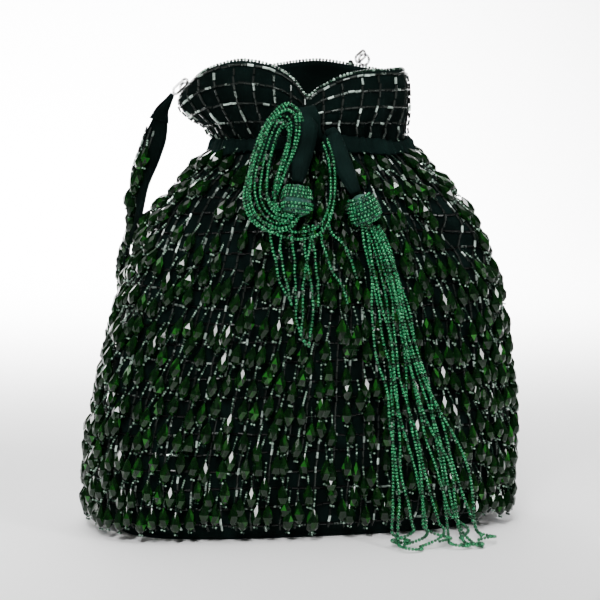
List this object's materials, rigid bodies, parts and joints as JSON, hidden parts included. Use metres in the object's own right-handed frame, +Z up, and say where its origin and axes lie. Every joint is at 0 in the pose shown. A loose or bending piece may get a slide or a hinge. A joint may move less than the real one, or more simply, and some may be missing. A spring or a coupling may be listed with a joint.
{
  "type": "potli bag",
  "caption": "Drawstring pouch in dark green velvet with a ruffled mouth, tiers of crystal bead fringe, bead tassels on the drawstring and a beaded strap on rim rings.",
  "frame": {"origin": "centre of the flat oval base, on the surface that the bag stands on", "axes": "+Z up through the mouth; the front, with the drawstring's ends and tassels, faces -Y; X runs along the long way of the oval, with the left ring at -X"},
  "size_m": [0.219, 0.162, 0.2372],
  "materials": {
    "velvet": "dark green-black velvet with a grey-green sheen on its folds",
    "lining_satin": "dark green satin",
    "stiffener": "stiff board over the base",
    "fringe_crystal": "faceted bottle-green glass drops on strings of small silver-lined beads",
    "tassel_bead": "silver-lined emerald seed beads",
    "ring_metal": "polished dark nickel wire"
  },
  "bodies": {
    "bag": {"base_board": "stiffener", "base_panel": "velvet", "drawstring_end_1": "velvet", "drawstring_end_2": "velvet", "drawstring_neck": "velvet", "fringe_tier_01": "fringe_crystal", "fringe_tier_02": "fringe_crystal", "fringe_tier_03": "fringe_crystal", "fringe_tier_04": "fringe_crystal", "fringe_tier_05": "fringe_crystal", "fringe_tier_06": "fringe_crystal", "fringe_tier_07": "fringe_crystal", "fringe_tier_08": "fringe_crystal", "fringe_tier_09": "fringe_crystal", "fringe_tier_10": "fringe_crystal", "fringe_tier_11": "fringe_crystal", "fringe_tier_12": "fringe_crystal", "fringe_tier_13": "fringe_crystal", "lining": "lining_satin", "rim_ring_left": "ring_metal", "rim_ring_right": "ring_metal", "ring_tab_left": "velvet", "ring_tab_right": "velvet", "tassel_cap_1": "tassel_bead", "tassel_cap_2": "tassel_bead", "tassel_ends_1": "tassel_bead", "tassel_loops_1": "tassel_bead", "tassel_strands_2": "tassel_bead", "velvet_pouch": "velvet"},
    "handle": {"handle_strap": "velvet", "handle_beading": "fringe_crystal", "handle_tab_left": "velvet", "handle_tab_right": "velvet", "handle_link_left": "ring_metal", "handle_link_right": "ring_metal"}
  },
  "joints": [
    {"name": "handle_swing", "type": "hinge", "parent": "bag", "child": "handle", "pos_m": [-0.0593, 0, 0.2182], "axis": [0.9557, 0.2437, 0.1653], "range_deg": [0, 160]}
  ]
}
